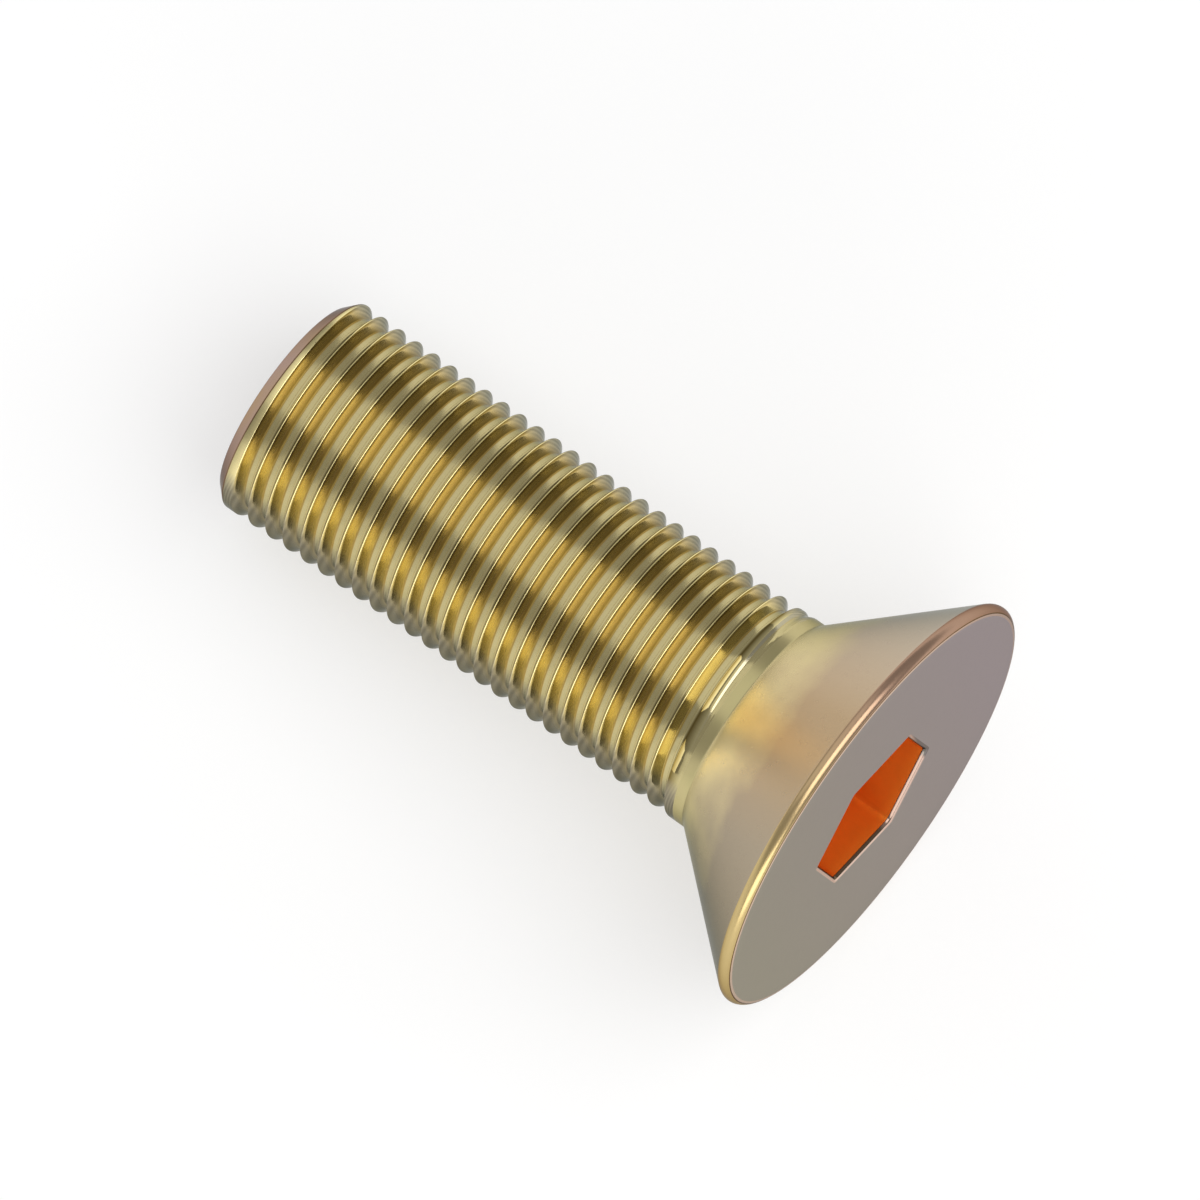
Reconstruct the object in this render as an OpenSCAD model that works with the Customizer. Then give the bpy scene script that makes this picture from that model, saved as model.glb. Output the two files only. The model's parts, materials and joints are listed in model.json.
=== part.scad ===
// Countersunk hex-socket screw with a fine right-hand thread, lying as it comes to rest on a floor.
// The screw is drawn about its own axis, with the face of the head at height 0 and the tip on top,
// and is then laid down on the rim of its head and the crests at its tip.

/* [Thread] */
// Diameter over the thread crests
thread_d = 15.875; // [10:0.125:20]
// Distance from one crest to the next
pitch = 1.4111; // [1:0.05:2]
// Flat left on each crest, as a share of the pitch
crest_share = 0.05; // [0.02:0.005:0.25]
// Flat at the bottom of each groove, as a share of the pitch
root_share = 0.32; // [0.1:0.01:0.4]
// Angle between the two flanks of a groove
thread_angle = 60; // [50:1:70]
// Distance from the tip to the first crest, on the upper side
first_crest = 1.18; // [0.8:0.02:2]
// Length over which the grooves fade out towards the neck
fade_l = 1.2; // [0.8:0.1:6]
// Length over which the first groove deepens, from the bevel of the tip
start_l = 0.8; // [0.7:0.05:2]

/* [Shank] */
// Length of the whole screw, from the face of the head to the tip
screw_l = 47.625; // [30:0.125:90]
// Plain neck between the cone and the thread
neck_l = 0.9; // [0.6:0.1:12]
// How far the neck stands out past the crests
neck_step = 0.02; // [0.01:0.01:0.1]

/* [Head] */
// Diameter at which the face and the cone would meet in a sharp edge
head_d = 32.26; // [24:0.1:38]
// Angle of the cone, side to side
head_angle = 82; // [75:1:100]
// Rounding of the rim
rim_r = 0.52; // [0.2:0.02:1]

/* [Socket] */
// Width of the hex across its flats
socket_w = 10.13; // [6:0.01:12]
// Depth of the hex
socket_l = 6; // [3:0.1:8]
// Bevel around the mouth of the hex
socket_bevel = 0.3; // [0.1:0.05:0.6]
// Flat ledge between the sides of the hex and the punched cone at the bottom
socket_ledge = 0.3; // [0.1:0.05:1]
// Angle of the punched cone at the bottom, side to side
socket_tip_angle = 130; // [120:1:160]
// Turn of the hex about the axis, from the upper side
socket_turn = 53.4; // [0:0.2:60]

/* [Hidden] */

// Flat strips that the thread has around its axis
strips = 36;
// Steps in the rounding of the rim
rim_steps = 10;
// Sides of what is turned round, where it is drawn with flats
turned_sides = 180;
// Sides of the socket
hex_sides = 6;
// Spare grooves past each end of the thread
spare_grooves = 2;
// Length of thread that is sunk in the neck, and of any cut past a face
sunk = 0.4;

crest_r = thread_d / 2;
flank_l = pitch * (1 - crest_share - root_share) / 2;
thread_depth = flank_l / tan(thread_angle / 2);
root_r = crest_r - thread_depth;
root_half = pitch * root_share / 2;
groove_half = root_half + flank_l;

cone_angle = head_angle / 2;
neck_r = crest_r + neck_step;
head_l = (head_d / 2 - neck_r) / tan(cone_angle);
thread_z = head_l + neck_l;
bevel_z = screw_l - thread_depth;

// The rim's rounding touches the face and the cone
rim_centre_r = head_d / 2 - rim_r * tan(cone_angle) - rim_r / cos(cone_angle);

// Share of the full depth that a groove has at a height
function fade(z) = max(0, min(1, (z - thread_z) / fade_l, (bevel_z - z) / start_l));

// A height on the thread, kept between its sunk end and the bevel of the tip
function held(z) = max(thread_z - sunk, min(bevel_z, z));

// The four corners of one groove whose middle is at a height, each [radius, height]
function groove(z) =
    let (share = fade(z), bottom_r = crest_r - share * thread_depth)
    [[crest_r, held(z - share * groove_half)],
     [bottom_r, held(z - share * root_half)],
     [bottom_r, held(z + share * root_half)],
     [crest_r, held(z + share * groove_half)]];

// All corners on one side of the shank, from the neck to the tip. A right-hand thread rises by one
// pitch a turn, and there are spare grooves at both ends, where held() brings them together.
grooves = ceil((screw_l - thread_z) / pitch) + 2 * spare_grooves;
first_groove_z = screw_l - first_crest + pitch * (spare_grooves + 0.5 - grooves);
function side(angle) = [
    for (k = [0 : grooves - 1])
    each groove(first_groove_z + pitch * (k + angle / 360)),
    [root_r, screw_l]
];

// Lying down, the screw leans until the first corner below meets the floor
function lean_to(corner) =
    let (across = rim_centre_r - corner[0], along = corner[1] - rim_r)
    atan(across / along) + asin(rim_r / norm([across, along]));
lean = min([for (corner = side(180)) lean_to(corner)]);
face_z = rim_r + rim_centre_r * cos(lean) + rim_r * sin(lean);
reach_head = rim_centre_r * sin(lean) + rim_r * (1 - cos(lean));
reach_tip = root_r * sin(lean) + screw_l * cos(lean);
face_x = (reach_tip - reach_head) / 2;

module head() {
    rim = [
        for (k = [0 : rim_steps])
        let (a = -90 + (90 + cone_angle) * k / rim_steps)
        [rim_centre_r + rim_r * cos(a), rim_r + rim_r * sin(a)]
    ];
    difference() {
        rotate_extrude($fn = turned_sides)
            polygon(concat([[0, 0]], rim, [[neck_r, head_l], [neck_r, thread_z], [0, thread_z]]));
        socket();
    }
}

module socket() {
    corner_r = socket_w / 2 / cos(180 / hex_sides);
    past_r = (socket_w / 2 + socket_bevel + sunk) / cos(180 / hex_sides);
    punch_r = socket_w / 2 - socket_ledge;
    punch_l = punch_r / tan(socket_tip_angle / 2);
    punch = [[0, -sunk], [punch_r, -sunk], [punch_r, 0], [0, punch_l]];
    rotate(socket_turn) {
        translate([0, 0, -sunk])
            cylinder(h = socket_l + sunk, r = corner_r, $fn = hex_sides);
        translate([0, 0, -sunk])
            cylinder(h = socket_bevel + sunk, r1 = past_r, r2 = corner_r, $fn = hex_sides);
    }
    translate([0, 0, socket_l])
        rotate_extrude($fn = turned_sides)
        polygon(punch);
}

module thread() {
    rows = 4 * grooves + 1;
    corners = [
        for (j = [0 : strips - 1])
        let (angle = 360 * j / strips)
        for (c = side(angle))
        [c[0] * cos(angle), c[0] * sin(angle), c[1]]
    ];
    // The last strip joins the first one a groove further up, as the thread has risen by then
    function across(j, i) = j < strips - 1 ? (j + 1) * rows + i : min(i + 4, rows - 1);
    quads = [
        for (j = [0 : strips - 1], i = [0 : rows - 2])
        [j * rows + i, j * rows + i + 1, across(j, i + 1), across(j, i)]
    ];
    triangles = [
        for (q = quads, t = [[q[0], q[1], q[2]], [q[0], q[2], q[3]]])
        if (corners[t[0]] != corners[t[1]] && corners[t[1]] != corners[t[2]] && corners[t[2]] != corners[t[0]])
        t
    ];
    neck_end = [for (j = [0 : strips - 1]) j * rows];
    tip_end = [for (j = [strips - 1 : -1 : 0]) j * rows + rows - 1];
    polyhedron(corners, concat([neck_end, tip_end], triangles));
}

module screw() {
    color([0.78, 0.66, 0.36])
        translate([face_x, 0, face_z])
        rotate([0, -90 - lean, 0]) {
            head();
            thread();
        }
}

screw();
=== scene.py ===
import json
import math
import bpy
import numpy as np
from mathutils import Matrix, Vector


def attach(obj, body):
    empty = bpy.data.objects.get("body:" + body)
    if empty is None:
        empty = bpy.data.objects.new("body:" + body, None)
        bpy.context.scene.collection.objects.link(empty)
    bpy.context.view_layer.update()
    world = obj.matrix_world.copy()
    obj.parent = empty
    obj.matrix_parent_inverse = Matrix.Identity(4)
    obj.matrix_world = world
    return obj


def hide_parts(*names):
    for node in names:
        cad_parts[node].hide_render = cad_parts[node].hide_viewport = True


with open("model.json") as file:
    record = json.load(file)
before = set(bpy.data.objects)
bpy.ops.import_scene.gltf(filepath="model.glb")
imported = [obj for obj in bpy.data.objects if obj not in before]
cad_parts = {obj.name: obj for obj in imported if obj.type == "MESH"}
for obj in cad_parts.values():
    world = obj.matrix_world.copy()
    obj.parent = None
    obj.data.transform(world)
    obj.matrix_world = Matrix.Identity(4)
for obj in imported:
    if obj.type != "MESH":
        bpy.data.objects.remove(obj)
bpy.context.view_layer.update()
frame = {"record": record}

millimetre = 0.001

# The screw's sizes in millimetres and degrees, as the solid has them, and what is finer than the solid.
# Its own axis is z, from the face of the head at 0 to the tip, and its own x is the upper side.
screw = {
    "threadDiameter": 15.875,
    "pitch": 1.4111,
    "crestShare": 0.05,
    "rootShare": 0.32,
    "threadAngle": 60,
    "firstCrest": 1.18,
    "fadeLength": 1.2,
    "startLength": 0.8,
    "spareGrooves": 2,         # past each end of the thread
    "length": 47.625,
    "neckLength": 0.9,
    "neckStep": 0.02,
    "headDiameter": 32.26,
    "headAngle": 82,
    "rimRound": 0.52,
    "socketWidth": 10.13,
    "socketLength": 6,
    "socketLedge": 0.3,
    "socketTipAngle": 130,
    "socketTurn": 53.4,
    "mouthRound": 0.3,         # around the mouth of the hex
    "socketCornerRound": 0.35, # in the six corners of the hex
    "faceShares": (0.03, 0.3, 0.65), # where rows lie between the mouth and a round ring in the face
    "rootRound": 0.04,         # in the bottom corners of a groove
    "neckRound": 0.2,          # where the cone meets the neck
    "tipBevel": 45,            # the bevel's turn from the axis
    "tipRound": 0.15,          # both edges of that bevel
    "weld": 0.001,             # points closer than this become one
    "sharpAngle": 35,          # an edge that turns further than this stays sharp
}

# Where the look of a groove changes.
grooveLines = {
    "brinkShare": 0.74,        # how far up the flank the brink begins
    "ridgeShare": 0.4,         # how far up the lee the ridge begins
    "footShare": 0.075,        # how far the foot reaches into the bottom, as a share of the pitch
    "footEdge": 0.012,         # and how soft its edge is there
    "crestCut": 0.02,          # what is cut less deep than this is crest
    "bottomShare": 0.9,        # what is cut deeper than this share of the full depth is bottom
}

# How many points each stretch has, from the socket to the tip. Straight stretches are without their ends.
steps = {
    "columns": 174,            # around the axis, a multiple of six
    "punch": 3,
    "wall": 3,
    "mouth": 8,
    "lip": 5,                  # of the mouth's, those before the pale lip
    "face": 4,
    "rim": 15,
    "line": 2,                 # of the rim's, those of the pale line
    "cone": 8,
    "neckRound": 5,
    "neck": 3,
    "crest": 4,
    "root": 3,
    "tipRound": 4,
    "bevel": 2,
    "end": 4,
}

# What a point of the thread may lie on: the flank that faces the head or the lee that faces the tip. The
# flank has its foot in the bottom, painted with a reflection of its gold, the glare above, a painted
# highlight, and the brink at the crest, a line of painted shade, and the lee has its ridge, a line of
# painted shade. The crest is painted as a highlight.
sides = ["flank", "lee", "foot", "glare", "brink", "ridge", "crest"]

pitch = screw["pitch"]
crestR = screw["threadDiameter"] / 2
flankLength = pitch * (1 - screw["crestShare"] - screw["rootShare"]) / 2
depth = flankLength / math.tan(math.radians(screw["threadAngle"] / 2))
rootR = crestR - depth
rootHalf = pitch * screw["rootShare"] / 2
grooveHalf = rootHalf + flankLength
neckR = crestR + screw["neckStep"]
headLength = (screw["headDiameter"] / 2 - neckR) / math.tan(math.radians(screw["headAngle"] / 2))
threadStart = headLength + screw["neckLength"]
bevelStart = screw["length"] - depth
landEnd = bevelStart - screw["tipRound"] * math.tan(math.radians(screw["tipBevel"] / 2))

# The columns start at a corner of the hex.
columnTurn = 360 * np.arange(steps["columns"]) / steps["columns"]
columnAngle = screw["socketTurn"] + columnTurn


# The arcs of straight lines through the corners, with each inner corner rounded. An arc starts
# radius * tan(turn / 2) before its corner, is centred at right angles to the line there, and turns as far
# as the lines do.
def roundedChain(corners, radii, counts):
    corners = np.array(corners, float)
    arcs = []
    for before, corner, after, radius, count in zip(corners, corners[1:], corners[2:], radii, counts):
        comes = (corner - before) / np.linalg.norm(corner - before)
        goes = (after - corner) / np.linalg.norm(after - corner)
        turn = math.atan2(comes[0] * goes[1] - comes[1] * goes[0], comes @ goes)
        start = corner - comes * radius * math.tan(abs(turn) / 2)
        centre = start + np.array([-comes[1], comes[0]]) * math.copysign(radius, turn)
        turned = np.linspace(0, turn, count)
        arm = start - centre
        arcs.append(centre + np.stack([arm[0] * np.cos(turned) - arm[1] * np.sin(turned),
                                       arm[0] * np.sin(turned) + arm[1] * np.cos(turned)], 1))
    return arcs


# Points between two others, without the ends, closer together near both: a share of (1 - cos(pi t)) / 2.
def between(start, end, count):
    share = (1 - np.cos(np.pi * np.arange(1, count + 1) / (count + 1)))[:, None] / 2
    return np.array(start) * (1 - share) + np.array(end) * share


# The point at a share of the way from one to another.
def partWay(start, end, share):
    return start * (1 - share) + end * share


# The distance from the axis to the side of a hexagon: width / 2 over the cosine of the angle from the
# middle of the nearest side, and a little less in its six rounded corners.
def hexRadius(turn, width, cornerRound):
    fromSide = np.mod(turn, 60) - 30
    radius = width / 2 / np.cos(np.radians(fromSide))
    isCorner = np.isclose(np.abs(fromSide), 30)
    return radius - isCorner * cornerRound * (1 / math.cos(math.radians(30)) - 1)


# Rows of points around the axis, each [radius, height] and then how far it lies on each of the sides.
class Rows:
    def __init__(self):
        self.rows = []
        self.parts = []

    def add(self, part, radius, height, shares=(0.0,) * len(sides)):
        radius, height = np.broadcast_arrays(np.asarray(radius, float), np.asarray(height, float))
        shape = (len(radius), steps["columns"])
        layers = [np.broadcast_to(layer, shape) for layer in (radius, height, *shares)]
        self.rows.append(np.stack(layers, 2))
        self.parts.extend([part] * len(radius))

    def addRings(self, part, points):
        points = np.reshape(points, (-1, 2))
        self.add(part, points[:, :1], points[:, 1:])


# A punched cone, the hex floor and wall, and the mouth, which is rounded by a quarter of a circle.
def addSocket(surface):
    floorZ = screw["socketLength"]
    punchR = screw["socketWidth"] / 2 - screw["socketLedge"]
    punchEnd = floorZ + punchR / math.tan(math.radians(screw["socketTipAngle"] / 2))
    surface.addRings("socket", [0, punchEnd])
    surface.addRings("socket", between([0, punchEnd], [punchR, floorZ], steps["punch"]))
    surface.addRings("socket", [punchR, floorZ])
    wall = hexRadius(columnTurn[None], screw["socketWidth"], screw["socketCornerRound"])
    surface.add("socket", wall, [[floorZ]])
    surface.add("socket", wall, between([floorZ], [screw["mouthRound"]], steps["wall"]))
    turned = np.radians(np.linspace(0, 90, steps["mouth"]))[:, None]
    width = screw["socketWidth"] + 2 * screw["mouthRound"] * (1 - np.cos(turned))
    radius = hexRadius(columnTurn[None], width, screw["socketCornerRound"])
    height = screw["mouthRound"] * (1 - np.sin(turned))
    lip = steps["lip"]
    surface.add("socket", radius[:1], height[:1])
    surface.add("mouth", radius[1:lip], height[1:lip])
    surface.add("lip", radius[lip:], height[lip:])


# The face, which goes over from the hex to round rings, the rounded rim, the cone and the neck.
def addHead(surface):
    mouth = surface.rows[-1][-1:, :, 0]
    ringR = screw["headDiameter"] / 4
    shares = np.array(screw["faceShares"])[:, None]
    surface.add("face", partWay(mouth, ringR, shares), np.zeros_like(shares))
    outline = [[ringR, 0], [screw["headDiameter"] / 2, 0], [neckR, headLength], [neckR, threadStart]]
    radii = [screw["rimRound"], screw["neckRound"]]
    rim, corner = roundedChain(outline, radii, [steps["rim"], steps["neckRound"]])
    shadeRing = 1 + steps["line"]
    surface.addRings("face", [ringR, 0])
    surface.addRings("face", between([ringR, 0], rim[0], steps["face"]))
    surface.addRings("face", rim[:1])
    # The rim begins with a pale line of painted highlight and a ring of painted shade.
    surface.addRings("line", rim[1:shadeRing])
    surface.addRings("shadeRing", rim[shadeRing:shadeRing + 1])
    surface.addRings("rim", rim[shadeRing + 1:])
    surface.addRings("cone", between(rim[-1], corner[0], steps["cone"]))
    surface.addRings("cone", corner[:1])
    surface.addRings("neck", corner[1:])
    surface.addRings("neck", between(corner[-1], [neckR, threadStart], steps["neck"]))


# One groove as the places along the axis and the depths of its points, 0 along being its middle: a crest,
# the lee, the bottom, the flank and the next crest. A crest is so narrow that its two roundings meet in its
# middle. Says too which points lie on which side.
def grooveSection():
    crestRound = pitch * screw["crestShare"] / 2 / math.tan(math.radians(45 - screw["threadAngle"] / 4))
    corners = [[-pitch, 0], [-grooveHalf, 0], [-rootHalf, depth],
               [rootHalf, depth], [grooveHalf, 0], [pitch, 0]]
    radii = [crestRound, screw["rootRound"], screw["rootRound"], crestRound]
    counts = [steps["crest"], steps["root"], steps["root"], steps["crest"]]
    leeCrest, leeRoot, flankRoot, flankCrest = roundedChain(corners, radii, counts)
    ridge = partWay(leeRoot[:1], leeCrest[-1:], grooveLines["ridgeShare"])
    brink = partWay(flankRoot[-1:], flankCrest[:1], grooveLines["brinkShare"])
    footEnd = rootHalf - pitch * grooveLines["footShare"]
    foot = np.array([[footEnd - pitch * grooveLines["footEdge"], depth], [footEnd, depth]])
    along, cut = np.concatenate([leeCrest, ridge, leeRoot, foot, flankRoot, brink, flankCrest]).T
    isSteep = (np.abs(along) > rootHalf) & (cut > grooveLines["crestCut"])
    liesOn = {
        "flank": isSteep & (along > 0),
        "lee": isSteep & (along < 0),
        "foot": (along >= footEnd) & (cut > depth * grooveLines["bottomShare"]),
        "glare": along == brink[0, 0],
        "brink": isSteep & (along > brink[0, 0]),
        "ridge": along < ridge[0, 0],
        "crest": (along > 0) & (cut <= grooveLines["crestCut"]),
    }
    return along, cut, liesOn


# The groove, repeated along the axis and raised by one pitch a turn. Where it fades to a share, its width
# shrinks by the root of the share, and its depth by share ** 1.5 while its form goes over to a hollow of
# depth * (1 + cos(pi * along / half)) / 2. Returns how many rows a groove has.
def addThread(surface):
    along, cut, liesOn = grooveSection()
    perGroove = len(along)
    along = along[None, :, None]
    cut = cut[None, :, None]
    spare = screw["spareGrooves"]
    grooves = math.ceil((screw["length"] - threadStart) / pitch) + 2 * spare
    firstGroove = screw["length"] - screw["firstCrest"] + (spare + 0.5) * pitch - grooves * pitch
    middle = firstGroove + pitch * (np.arange(grooves)[:, None, None] + columnAngle[None, None] / 360)
    fromNeck = (middle - threadStart) / screw["fadeLength"]
    fromTip = (landEnd - middle) / screw["startLength"]
    share = np.clip(np.minimum(fromNeck, fromTip), 0, 1)
    hollow = depth * (1 + np.cos(np.pi * np.clip(along / grooveHalf, -1, 1))) / 2
    cut = share ** 1.5 * (hollow + (cut - hollow) * share ** 2)
    height = np.clip(middle + np.sqrt(share) * along, threadStart, landEnd)
    step = screw["neckStep"] * (1 - np.clip((height - threadStart) / screw["fadeLength"], 0, 1))
    flat = (-1, steps["columns"])
    shares = [(liesOn[side][None, :, None] * share).reshape(flat) for side in sides]
    surface.add("thread", (crestR + step - cut).reshape(flat), height.reshape(flat), shares)
    return perGroove


# The bevel with its two rounded edges, and the end face.
def addTip(surface):
    middle = [0, screw["length"]]
    outline = [[crestR, threadStart], [crestR, bevelStart], [rootR, screw["length"]], middle]
    edge, end = roundedChain(outline, [screw["tipRound"]] * 2, [steps["tipRound"]] * 2)
    surface.addRings("thread", edge[:1])
    # The rounded edge between the land and the bevel is a ring of painted shade.
    surface.addRings("shadeRing", edge[1:])
    surface.addRings("tip", between(edge[-1], end[0], steps["bevel"]))
    surface.addRings("tip", end)
    surface.addRings("tip", between(end[-1], middle, steps["end"]))
    surface.addRings("tip", middle)


# Four-sided faces between neighbouring rows and columns. Inside the thread the last column meets the first
# one a whole groove further along, because the thread has risen by then.
def gridFaces(rowCount, threadFrom, threadTo, perGroove):
    columns = steps["columns"]
    row = np.arange(rowCount)
    inThread = (row >= threadFrom) & (row < threadTo)
    partner = np.where(inThread, np.minimum(row + perGroove, threadTo - 1), row)
    here = row[:, None] * columns + np.arange(columns)[None]
    beside = np.concatenate([here[:, 1:], partner[:, None] * columns], 1)
    return np.stack([here[:-1], beside[:-1], beside[1:], here[1:]], 2).reshape(-1, 4)


# Welds equal points and drops what has no area: a four-sided face with two equal neighbours becomes a
# triangle, and one with fewer than three different points goes. Returns which points and faces are kept.
def weldFaces(points, quads):
    keys = np.round(points / screw["weld"]).astype(np.int64)
    _, first, index = np.unique(keys, axis=0, return_index=True, return_inverse=True)
    quads = index.reshape(-1)[quads]
    same = quads == np.roll(quads, -1, 1)
    fours = np.flatnonzero(same.sum(1) == 0)
    threes = np.flatnonzero(same.sum(1) == 1)
    kept = np.argsort(same[threes], axis=1, kind="stable")[:, :3]
    return first, quads[fours], fours, np.take_along_axis(quads[threes], kept, 1), threes


# Writes one value or one vector for each point.
def addAttribute(mesh, name, kind, field, values):
    flat = np.asarray(values, np.float32).reshape(-1)
    mesh.attributes.new(name, kind, "POINT").data.foreach_set(field, flat)


# Turns the rows into one closed mesh at its place in the frame, and says which part each face is.
def screwMesh(place):
    surface = Rows()
    addSocket(surface)
    addHead(surface)
    threadFrom = len(surface.parts)
    perGroove = addThread(surface)
    threadTo = len(surface.parts)
    addTip(surface)
    rows = np.concatenate(surface.rows)
    turn = np.radians(columnAngle)[None]
    radius = rows[:, :, 0]
    height = rows[:, :, 1]
    points = np.stack([radius * np.cos(turn), radius * np.sin(turn), height], 2).reshape(-1, 3)
    quads = gridFaces(len(rows), threadFrom, threadTo, perGroove)
    quadPart = np.repeat(surface.parts[1:], steps["columns"])
    first, fours, foursFrom, threes, threesFrom = weldFaces(points, quads)
    place = np.array(place)
    own = points[first]
    inFrame = np.concatenate([own * millimetre, np.ones((len(own), 1))], 1) @ place.T
    mesh = bpy.data.meshes.new("screw")
    mesh.from_pydata(inFrame[:, :3], [], fours.tolist() + threes.tolist())
    for side, values in zip(sides, rows[:, :, 2:].reshape(-1, len(sides))[first].T):
        addAttribute(mesh, side, "FLOAT", "value", values)
    outward = own * [1, 1, 0]
    outward = outward / np.maximum(np.linalg.norm(outward, axis=1, keepdims=True), screw["weld"])
    addAttribute(mesh, "ownPlace", "FLOAT_VECTOR", "vector", own)
    addAttribute(mesh, "outward", "FLOAT_VECTOR", "vector", outward @ place[:3, :3].T)
    mesh.validate()
    mesh.shade_smooth()
    mesh.set_sharp_from_angle(angle=math.radians(screw["sharpAngle"]))
    print("screw:", len(mesh.vertices), "points,", 2 * len(fours) + len(threes), "triangles")
    return mesh, np.concatenate([quadPart[foursFrom], quadPart[threesFrom]])


# A shader value. Sums, differences, products and quotients of values add Math nodes.
class Wire:
    def __init__(self, graph, socket):
        self.graph = graph
        self.socket = socket

    def maths(self, operation, first, second):
        return self.graph.add("ShaderNodeMath", {"operation": operation}, {0: first, 1: second})

    def __add__(self, other):
        return self.maths("ADD", self, other)

    def __sub__(self, other):
        return self.maths("SUBTRACT", self, other)

    def __rsub__(self, other):
        return self.maths("SUBTRACT", other, self)

    def __mul__(self, other):
        return self.maths("MULTIPLY", self, other)

    def __truediv__(self, other):
        return self.maths("DIVIDE", self, other)

    __radd__ = __add__
    __rmul__ = __mul__

    def clipped(self):
        return self.graph.add("ShaderNodeClamp", {}, {"Value": self})


# The nodes of one material or of the world. Each node is given by its type, its settings, the values or
# wires of its inputs, and which output is wanted, if not the first.
class Graph:
    def __init__(self, owner):
        owner.use_nodes = True
        self.tree = owner.node_tree
        self.tree.nodes.clear()

    def add(self, kind, settings, inputs, output=0):
        node = self.tree.nodes.new(kind)
        for name, value in settings.items():
            setattr(node, name, value)
        for name, value in inputs.items():
            if isinstance(value, Wire):
                self.tree.links.new(value.socket, node.inputs[name])
            else:
                node.inputs[name].default_value = value
        return Wire(self, node.outputs[output]) if len(node.outputs) else None

    # The Mix node has a factor, two inputs and a result for each kind of data, and these are for colours.
    def mixColour(self, factor, first, second):
        return self.add("ShaderNodeMix", {"data_type": "RGBA"}, {0: factor, 6: first, 7: second}, 2)

    def vectors(self, operation, first, second):
        return self.add("ShaderNodeVectorMath", {"operation": operation}, {0: first, 1: second})

    def ofVector(self, operation, vector, output):
        return self.add("ShaderNodeVectorMath", {"operation": operation}, {0: vector}, output)

    def scaled(self, vector, factor):
        return self.add("ShaderNodeVectorMath", {"operation": "SCALE"}, {0: vector, "Scale": factor})

    def part(self, vector, letter):
        return self.add("ShaderNodeSeparateXYZ", {}, {0: vector}, letter)

    def attribute(self, name, output):
        return self.add("ShaderNodeAttribute", {"attribute_name": name}, {}, output)

    def noise(self, place, wavelength):
        return self.add("ShaderNodeTexNoise", {}, {"Vector": place, "Scale": 1 / wavelength})

    # 0 up to one value, 1 from the other one on
    def step(self, value, low, high):
        return ((value - low) / (high - low)).clipped()


def colour(red, green, blue):
    return (red, green, blue, 1.0)


# Yellow zinc plating. Its colours are linear, "patch" is what the base drifts to in places, or between
# two distances across the axis, where it is painted light and shade on the cone, rim, line, lip and mouth,
# "top" is painted shade above "topFrom", and "edge" tints what it reflects at a glancing angle. Lengths
# are in millimetres.
plateLook = {
    "thread": {"base": colour(0.60, 0.515, 0.26), "patch": colour(0.585, 0.50, 0.25),
               "rough": 0.25, "edge": colour(0.43, 0.45, 0.43)},
    "neck": {"base": colour(0.60, 0.515, 0.26), "patch": colour(0.56, 0.49, 0.24),
             "rough": 0.28, "edge": colour(0.4, 0.42, 0.42)},
    # Painted light makes the cone lighter towards the side opposite the low one.
    "cone": {"base": colour(0.55, 0.40, 0.245), "patch": colour(0.78, 0.68, 0.57), "across": (2, 14),
             "rough": 0.27, "edge": colour(0.34, 0.38, 0.38)},
    # Painted shade makes the rim browner towards the side opposite the low one.
    "rim": {"base": colour(0.63, 0.48, 0.22), "patch": colour(0.46, 0.295, 0.205), "across": (-9, 5),
            "rough": 0.28, "edge": colour(0.36, 0.33, 0.33)},
    # A ring of painted shade, between the pale line and the rim, and on an edge of the tip.
    "shadeRing": {"base": colour(0.22, 0.13, 0.06), "patch": colour(0.24, 0.15, 0.09),
             "rough": 0.25, "edge": colour(0.4, 0.4, 0.4)},
    # A pale line of painted highlight beside the face, dimmer towards the side opposite the low one.
    "line": {"base": colour(0.80, 0.62, 0.49), "patch": colour(0.66, 0.50, 0.42), "across": (6, 14),
             "rough": 0.2, "edge": colour(0.45, 0.42, 0.40)},
    # A pale ring of painted highlight round the mouth, with painted shade at its far end opposite the low
    # side.
    "lip": {"base": colour(0.80, 0.60, 0.49), "patch": colour(0.78, 0.57, 0.47), "across": (-0.2, 0.2),
            "rough": 0.32, "edge": colour(0.5, 0.45, 0.42), "top": colour(0.24, 0.22, 0.21)},
    "face": {"base": colour(0.52, 0.495, 0.39), "patch": colour(0.525, 0.465, 0.46), "across": (-13, 12),
             "rough": 0.3, "edge": colour(0.38, 0.355, 0.36)},
    # The rounding inside the mouth is dark painted shade, lighter opposite the low side and grey at its far
    # end there.
    "mouth": {"base": colour(0.16, 0.11, 0.07), "patch": colour(0.36, 0.25, 0.20), "across": (-0.2, 0.2),
              "rough": 0.2, "edge": colour(0.5, 0.5, 0.5), "top": colour(0.19, 0.17, 0.15)},
    # The socket's deep orange is painted light: the colour light takes on as it bounces to and fro in the
    # recess.
    "socket": {"base": colour(0.88, 0.285, 0.032), "patch": colour(0.87, 0.27, 0.03),
               "rough": 0.5, "edge": colour(0.9, 0.4, 0.15)},
    "tip": {"base": colour(0.45, 0.315, 0.21), "patch": colour(0.44, 0.31, 0.25),
            "rough": 0.22, "edge": colour(0.36, 0.36, 0.36)},
}
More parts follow.
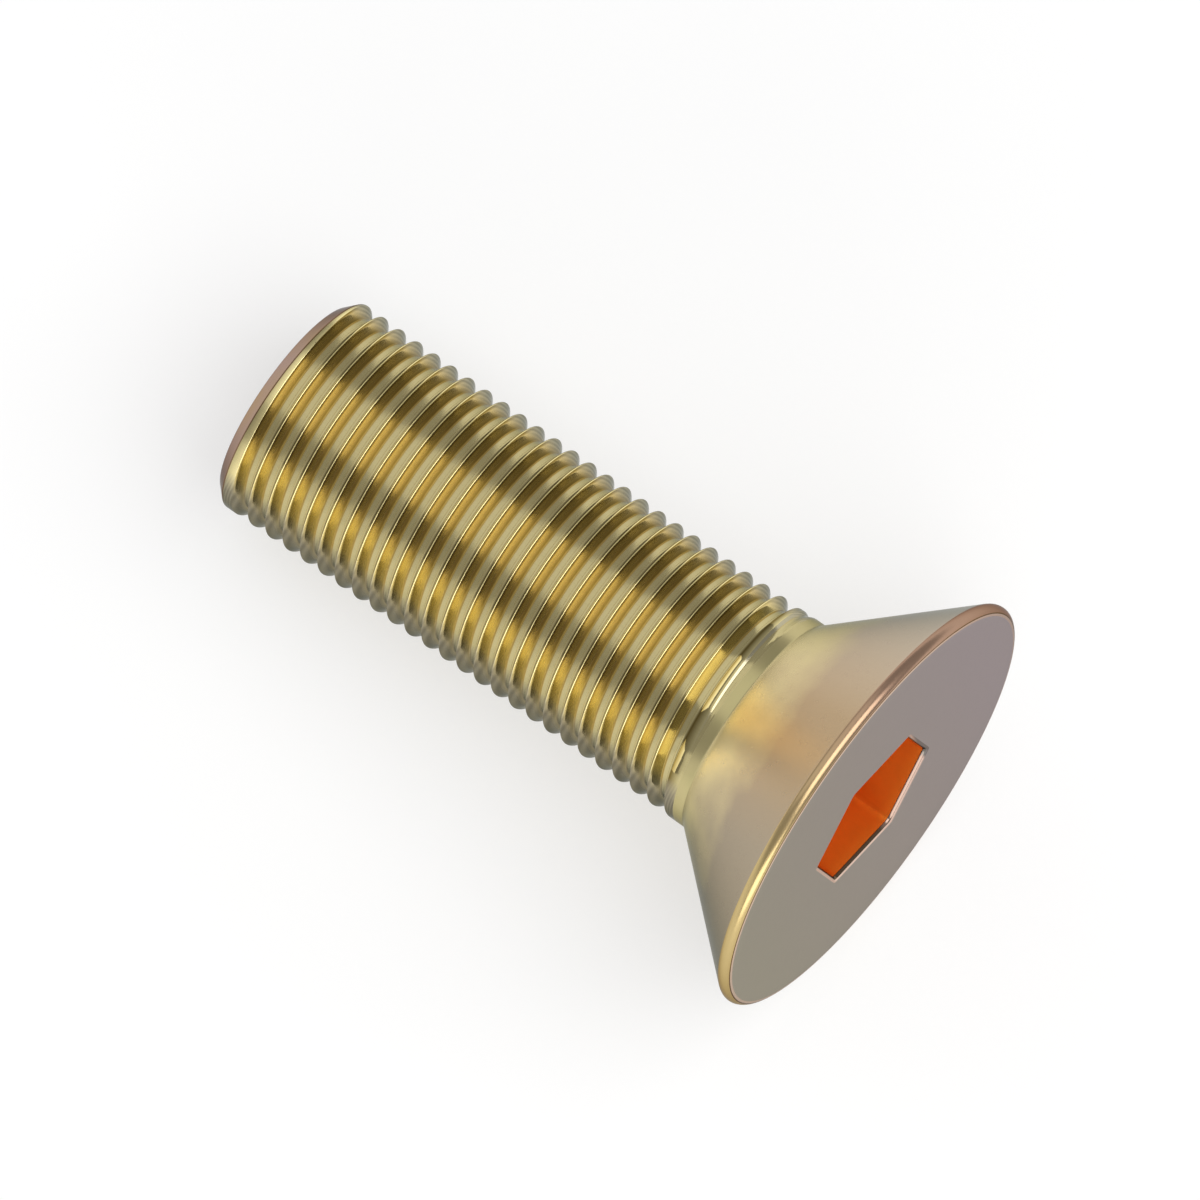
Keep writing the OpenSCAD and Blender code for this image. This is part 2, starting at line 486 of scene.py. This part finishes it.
# Patches and grain that vary at random over the plating, the painted shade at the top of the mouth and its
# lip, and the dark colour, which the grain, streaks and specks share with painted shade on the side away
# from the lamps.
plateGrainAndShade = {
    "topFrom": (4.9, 5.15),     # the distances across between which the painted shade at the top comes in
    "patchLength": 4.0,         # of the drifting patches of colour
    "patchFrom": (0.4, 0.6),    # the values of their noise between which the base goes over to the patch
    "grainLength": 0.5,         # of the fine grain in tone and gloss
    "grainFrom": (0.5, 0.8),    # the values of its noise between which it darkens
    "grainDepth": 0.02,         # how far it darkens the base
    "glossDrift": 0.02,         # how far the roughness varies
    "bumpDepth": 0.0001 * millimetre,
    "dark": colour(0.10, 0.085, 0.06),
}
coneLook = {
    "low": colour(0.46, 0.38, 0.28),   # painted shade, towards the side away from the lamps
    "lowFrom": (1, 8),
    "inner": colour(0.84, 0.70, 0.38), # a painted highlight near the neck
    "innerReach": (8.2, 12.0),         # the distances from the axis between which it fades
    "drift": 5.0,                      # how far the patches push that fade in and out
}
threadLook = {
    # The foot is a painted reflection of the flank's gold, the glare and the crest are painted highlights,
    # and the brink and the ridge are lines of painted shade.
    "flank": colour(0.51, 0.375, 0.13),
    "foot": colour(0.44, 0.30, 0.085),
    "glare": colour(0.84, 0.635, 0.28),
    "brink": colour(0.28, 0.175, 0.02),
    "ridge": colour(0.19, 0.135, 0.036),
    "crest": colour(0.98, 0.84, 0.42),
    "lowGold": colour(1.0, 0.76, 0.26),   # a painted reflection of the floor on the flanks of the low side
    "lowFrom": (4.2, 5.1),
    "nearNeck": colour(0.95, 0.80, 0.38), # a painted highlight on the flanks of the last grooves before the neck
    "nearDepth": 0.6,
    "last": colour(0.50, 0.45, 0.30),     # and painted shade on the very last one
    "neckReach": (12.5, 13.3), # the distances from the face between which the last grooves end
    "lastReach": (11.5, 11.8), # and the very last one
    "flankFrom": (0.0, 0.15),  # the shares of the full depth between which a fading flank counts as one
    "leeTilt": 0.8,            # how far the lee side of a groove is shaded like its bottom
    "lastTilt": 0.7,           # and the flank of the last groove
    "ridgeLean": 0.6,          # how far the ridge is shaded as if it leaned towards the head
    "lastLean": 0.33,          # and the flank of the last groove
    "gloss": {"glare": 0.13, "ridge": 0.13, "foot": -0.14},
    "neckGloss": 0.1,
}
lobeLook = {
    "tint": colour(0.63, 0.565, 0.41), # a painted reflection on the rounded ends of the grooves, beside the outline
    "from": (42, 56),          # squares of the distances across between which they begin
    "shadeFrom": (6.5, 7.4),    # painted shade on the side that lies away from the lamps, across the axis
    "shadeDepth": 0.54,
    "hatchAlong": 30.0,        # the lines across them are a sine wave, in radians a millimetre along
    "hatchAcross": 9.7,        # and across
    "hatchDepth": 0.42,
}
wearLook = {
    "streaksRound": 70,        # how fine the streaks across the grooves are, around the axis
    "streaksAlong": 0.3,       # and along it
    "streakFrom": (0.45, 0.7), # the values of their noise between which they show
    "streakDepth": 0.05,
    "speckSpacing": 0.9,
    "speckSize": 0.05,
}


# The nodes of the plating on one part. It holds the base colour, roughness and normal as far as they are
# made, and what varies over the screw: the place across the axis and along it, the patches and the grain.
class Plating(Graph):
    def __init__(self, owner, look):
        super().__init__(owner)
        self.place = self.attribute("ownPlace", "Vector")
        self.outward = self.attribute("outward", "Vector")
        self.across = self.part(self.place, "Y")
        self.along = self.part(self.place, "Z")
        self.patches = self.noise(self.place, plateGrainAndShade["patchLength"])
        self.grain = self.noise(self.place, plateGrainAndShade["grainLength"])
        self.normal = self.add("ShaderNodeNewGeometry", {}, {}, "Normal")
        self.rough = look["rough"] + (self.grain - 0.5) * plateGrainAndShade["glossDrift"]
        self.base = look["base"]

    def on(self, side):
        return self.attribute(side, "Fac")

    def tint(self, share, tone):
        self.base = self.mixColour(share, self.base, tone)


# The drift from the base to the patch, at random or as painted light and shade across the axis, and the
# painted shade at the top.
def tintPatches(plating, look):
    if "across" in look:
        plating.tint(plating.step(plating.across, *look["across"]), look["patch"])
    else:
        plating.tint(plating.step(plating.patches, *plateGrainAndShade["patchFrom"]), look["patch"])
    if "top" in look:
        plating.tint(plating.step(plating.across, *plateGrainAndShade["topFrom"]), look["top"])


# Painted shade makes the cone darker on the low side, and a painted highlight makes it golden near the
# neck.
def tintCone(plating):
    flat = plating.vectors("MULTIPLY", plating.place, (1, 1, 0))
    drift = (plating.patches - 0.5) * coneLook["drift"]
    isOuter = plating.step(plating.ofVector("LENGTH", flat, "Value") + drift, *coneLook["innerReach"])
    plating.tint(plating.step(plating.across * -1, *coneLook["lowFrom"]), coneLook["low"])
    plating.base = plating.mixColour(isOuter, coneLook["inner"], plating.base)


# Each side of a groove has its own gold: a painted reflection in the foot, painted highlights on the glare
# and the crest and painted shade on the brink and the ridge; and a painted reflection of the floor makes
# the flanks brighter on the low side.
def tintSides(plating):
    for side in ["flank", "foot", "glare", "brink", "ridge", "crest"]:
        plating.tint(plating.on(side), threadLook[side])
    isLow = plating.step(plating.across * -1, *threadLook["lowFrom"])
    plating.tint(plating.on("flank") * isLow, threadLook["lowGold"])


# A painted highlight on the flanks of the last grooves before the neck, and painted shade on the last
# flank.
# Returns where those grooves are, and the last flank.
def tintLastGrooves(plating):
    nearNeck = 1 - plating.step(plating.along, *threadLook["neckReach"])
    isFlank = plating.step(plating.on("flank"), *threadLook["flankFrom"])
    last = (1 - plating.step(plating.along, *threadLook["lastReach"])) * isFlank
    plating.tint(nearNeck * isFlank * threadLook["nearDepth"], threadLook["nearNeck"])
    plating.tint(last, threadLook["last"])
    return nearNeck, last


# Shades the lee more like the bottom and the ridge as if it leaned towards the head:
# normalize(normal * (1 - lee) + outward * lee + toHead * ridge).
def turnNormals(plating, last):
    lee = plating.on("lee") * threadLook["leeTilt"] + last * threadLook["lastTilt"]
    ridge = plating.on("ridge") * threadLook["ridgeLean"] + last * threadLook["lastLean"]
    own = plating.scaled(plating.normal, 1 - lee)
    tilted = plating.vectors("ADD", own, plating.scaled(plating.outward, lee))
    leaning = plating.vectors("ADD", tilted, plating.scaled(tuple(toHead), ridge))
    plating.normal = plating.ofVector("NORMALIZE", leaning, "Vector")


def setGloss(plating, nearNeck):
    for side, gloss in threadLook["gloss"].items():
        plating.rough = plating.rough - plating.on(side) * gloss
    plating.rough = plating.rough - nearNeck * threadLook["neckGloss"]


# A painted reflection on the lobes beside the outline, painted shade on the side away from the lamps, and
# lines across the lobes of (sin(wave) + 1) / 2.
def tintLobes(plating):
    lobe = plating.step(plating.across * plating.across, *lobeLook["from"])
    shadeSide = plating.step(plating.across * -1, *lobeLook["shadeFrom"])
    plating.tint(lobe, lobeLook["tint"])
    plating.tint(shadeSide * lobeLook["shadeDepth"], plateGrainAndShade["dark"])
    wave = plating.across * lobeLook["hatchAcross"] + plating.along * lobeLook["hatchAlong"]
    hatch = plating.add("ShaderNodeMath", {"operation": "SINE"}, {0: wave}) * 0.5 + 0.5
    plating.tint(hatch * lobe * lobeLook["hatchDepth"], plateGrainAndShade["dark"])


# Fine streaks across the grooves and small dark specks on the crests.
def tintWear(plating):
    around = plating.scaled(plating.outward, wearLook["streaksRound"])
    along = plating.scaled(plating.place, wearLook["streaksAlong"])
    streaks = plating.noise(plating.vectors("ADD", around, along), 1.0)
    streak = plating.step(streaks, *wearLook["streakFrom"])
    plating.tint(streak * wearLook["streakDepth"], plateGrainAndShade["dark"])
    cells = {"Vector": plating.place, "Scale": 1 / wearLook["speckSpacing"]}
    away = plating.add("ShaderNodeTexVoronoi", {}, cells, "Distance")
    speck = plating.step(away * -1, -wearLook["speckSize"], -wearLook["speckSize"] / 2)
    plating.tint(speck * plating.on("crest"), plateGrainAndShade["dark"])


def plateThread(plating):
    tintSides(plating)
    nearNeck, last = tintLastGrooves(plating)
    turnNormals(plating, last)
    setGloss(plating, nearNeck)
    tintLobes(plating)
    tintWear(plating)


# The cone and the thread have more to their look than the other parts.
def plateMaterial(name):
    look = plateLook[name]
    material = bpy.data.materials.new(name + "Plate")
    plating = Plating(material, look)
    tintPatches(plating, look)
    if name == "cone":
        tintCone(plating)
    if name == "thread":
        plateThread(plating)
    grain = plating.step(plating.grain, *plateGrainAndShade["grainFrom"])
    plating.tint(grain * plateGrainAndShade["grainDepth"], plateGrainAndShade["dark"])
    relief = {"Strength": 1.0, "Distance": plateGrainAndShade["bumpDepth"], "Height": plating.grain}
    relief["Normal"] = plating.normal
    metal = {"Base Color": plating.base, "Metallic": 1.0, "Roughness": plating.rough}
    metal["Specular Tint"] = look["edge"]
    metal["Normal"] = plating.add("ShaderNodeBump", {}, relief)
    shader = plating.add("ShaderNodeBsdfPrincipled", {}, metal)
    plating.add("ShaderNodeOutputMaterial", {}, {"Surface": shader})
    return material


# The place and turn of a thing, from its middle and its own three directions.
def standing(middle, x, y, z):
    return Matrix.Translation(middle) @ Matrix((x, y, z)).transposed().to_4x4()


# The face of the head and the way out of it are the socket's mount in the record.
socketMount = next(m for m in frame["record"]["mounts"] if m["name"] == "hex_socket")
faceCentre = Vector(socketMount["pos_m"])
toHead = Vector(socketMount["axis"]).normalized()
sideways = Vector((0, 1, 0))
upper = sideways.cross(-toHead).normalized()

screwPart, facePart = screwMesh(standing(faceCentre, upper, sideways, -toHead))
screwPiece = bpy.data.objects.new("platedScrew", screwPart)
bpy.context.collection.objects.link(screwPiece)
slotOf = np.zeros(len(facePart), np.int32)
for number, partName in enumerate(plateLook):
    screwPart.materials.append(plateMaterial(partName))
    slotOf[facePart == partName] = number
screwPart.polygons.foreach_set("material_index", slotOf)
weighted = screwPiece.modifiers.new("faceWeights", "WEIGHTED_NORMAL")
weighted.mode = "FACE_AREA"
weighted.keep_sharp = True
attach(screwPiece, "root")
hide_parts("screw")
print("screw dressed")


# The camera stands as in the picture. Pixels are those of its 1200 by 1200 frame.
cameraLook = {
    "frameWidth": 1200,
    "pixelSize": 0.06466 * millimetre,
    "axisTurn": 34.95,           # the head lies this far below the horizontal, to the right
    "headTowards": 14.05,        # and comes this far out of the picture
    "facePixel": (872.6, 808.7), # the middle of the face
    "distance": 0.25,            # in metres, from the middle of the picture
    "clipStart": 0.001,          # and these in front of the camera
    "clipEnd": 10,
}


# Solves for a camera without roll: its right, up and back vectors give the head's direction the wanted
# parts along each, cos(towards) cos(turn), -cos(towards) sin(turn) and sin(towards).
def cameraTurn(direction, turn, towards):
    turn = math.radians(turn)
    towards = math.radians(towards)
    azimuth = -math.asin(math.cos(towards) * math.cos(turn) / math.hypot(direction.x, direction.y))
    level = math.hypot(direction.x, direction.y) * math.cos(azimuth)
    lift = math.acos(math.sin(towards) / math.hypot(level, direction.z))
    elevation = math.atan2(direction.z, level) + lift
    right = Vector((-math.sin(azimuth), math.cos(azimuth), 0))
    reach = math.cos(elevation)
    back = Vector((reach * math.cos(azimuth), reach * math.sin(azimuth), math.sin(elevation)))
    return right, back.cross(right), back


right, up, back = cameraTurn(toHead, cameraLook["axisTurn"], cameraLook["headTowards"])
offRight, offDown = [(pixel - cameraLook["frameWidth"] / 2) * cameraLook["pixelSize"]
                     for pixel in cameraLook["facePixel"]]
pictureMiddle = faceCentre - right * offRight + up * offDown
camera = bpy.data.objects.new("camera", bpy.data.cameras.new("camera"))
camera.data.type = "ORTHO"
camera.data.ortho_scale = cameraLook["frameWidth"] * cameraLook["pixelSize"]
camera.data.clip_start = cameraLook["clipStart"]
camera.data.clip_end = cameraLook["clipEnd"]
camera.matrix_world = standing(pictureMiddle + back * cameraLook["distance"], right, up, back)
bpy.context.collection.objects.link(camera)
bpy.context.scene.camera = camera
print("camera set")


# The studio, in metres. A lamp stands at a turn about the screw's axis from the camera's side and at a lean
# towards the head, and is as wide as the angles that it covers. Its glow is what a mirror would show of it.
studioLook = {
    "lampDistance": 1.0,
    "lamps": {
        "keyLamp": {"turn": 17, "lean": 36, "across": 58, "along": 48, "glow": 2.3},
        "fillLamp": {"turn": 17, "lean": -32, "across": 58, "along": 62, "glow": 0.5},
        "sideKey": {"turn": -80, "lean": 36, "across": 46, "along": 48, "glow": 2.2},
        "sideFill": {"turn": -70, "lean": -30, "across": 26, "along": 60, "glow": 0.45},
    },
    "worldGlow": 0.38,
    "floorWidth": 6.0,
    "floorColour": colour(0.45, 0.45, 0.45),
    "floorLift": 0.55,          # added where the camera or the metal sees the floor
}
white = colour(1, 1, 1)


def lampWidth(angle):
    return 2 * studioLook["lampDistance"] * math.tan(math.radians(angle / 2))


# The lamp faces the middle of the head's face. Its power is pi times its glow and its area.
def addLamp(name, lamp, facing, beside):
    turn = math.radians(lamp["turn"])
    lean = math.radians(lamp["lean"])
    level = facing * math.cos(turn) + beside * math.sin(turn)
    outward = level * math.cos(lean) + toHead * math.sin(lean)
    across = (beside * math.cos(turn) - facing * math.sin(turn)).normalized()
    data = bpy.data.lights.new(name, "AREA")
    data.shape = "RECTANGLE"
    data.size = lampWidth(lamp["across"])
    data.size_y = lampWidth(lamp["along"])
    data.energy = lamp["glow"] * math.pi * data.size * data.size_y
    holder = bpy.data.objects.new(name, data)
    middle = faceCentre + outward * studioLook["lampDistance"]
    holder.matrix_world = standing(middle, across, outward.cross(across), outward)
    holder.visible_camera = False
    bpy.context.collection.objects.link(holder)


def setWorld():
    world = bpy.data.worlds.new("studio")
    bpy.context.scene.world = world
    sky = Graph(world)
    glow = sky.add("ShaderNodeBackground", {}, {"Strength": studioLook["worldGlow"], "Color": white})
    sky.add("ShaderNodeOutputWorld", {}, {"Surface": glow})


# A matt floor, lifted towards white where a ray from the camera or from the metal meets it.
def floorMaterial():
    material = bpy.data.materials.new("paleFloor")
    graph = Graph(material)
    rays = [graph.add("ShaderNodeLightPath", {}, {}, kind)
            for kind in ("Is Camera Ray", "Is Glossy Ray", "Is Transmission Ray")]
    seen = (rays[0] + rays[1] + rays[2]).clipped()
    matt = graph.add("ShaderNodeBsdfDiffuse", {}, {"Color": studioLook["floorColour"]})
    glow = {"Color": white, "Strength": seen * studioLook["floorLift"]}
    lift = graph.add("ShaderNodeEmission", {}, glow)
    both = graph.add("ShaderNodeAddShader", {}, {0: matt, 1: lift})
    graph.add("ShaderNodeOutputMaterial", {}, {"Surface": both})
    return material


def addFloor():
    half = studioLook["floorWidth"] / 2
    corners = [(-half, -half, 0), (half, -half, 0), (half, half, 0), (-half, half, 0)]
    mesh = bpy.data.meshes.new("floor")
    mesh.from_pydata(corners, [], [(0, 1, 2, 3)])
    mesh.materials.append(floorMaterial())
    floorPiece = bpy.data.objects.new("floor", mesh)
    bpy.context.collection.objects.link(floorPiece)


facing = (back - toHead * back.dot(toHead)).normalized()
beside = facing.cross(toHead).normalized()
for lampName, lamp in studioLook["lamps"].items():
    addLamp(lampName, lamp, facing, beside)
setWorld()
addFloor()
bpy.context.scene.view_settings.view_transform = "Standard"
print("studio set")
